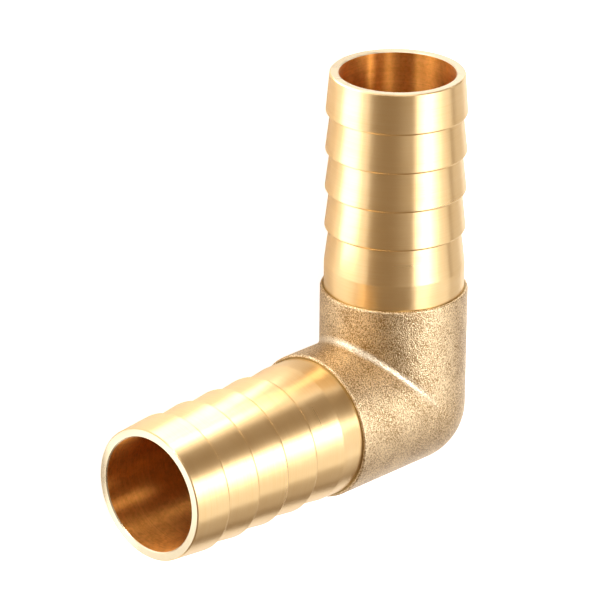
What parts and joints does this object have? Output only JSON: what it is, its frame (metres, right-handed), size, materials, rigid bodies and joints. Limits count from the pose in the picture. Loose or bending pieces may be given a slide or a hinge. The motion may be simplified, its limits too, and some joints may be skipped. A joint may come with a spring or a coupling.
{
  "type": "hose barb elbow",
  "caption": "Right-angled brass hose elbow in one piece: stepped barb tails with straight necks and shoulders on a plain cast bend, open right through.",
  "frame": {"origin": "where the axes of the two bores cross, in the middle of the bend", "axes": "+X out along one tail, +Y out along the other tail, +Z square to both as the fitting lies on its side"},
  "size_m": [0.0785, 0.0785, 0.0278],
  "materials": {
    "brass": "turned bright on both tails, matt as cast on the bend"
  },
  "bodies": {
    "root": {"elbow": "brass"}
  },
  "joints": []
}
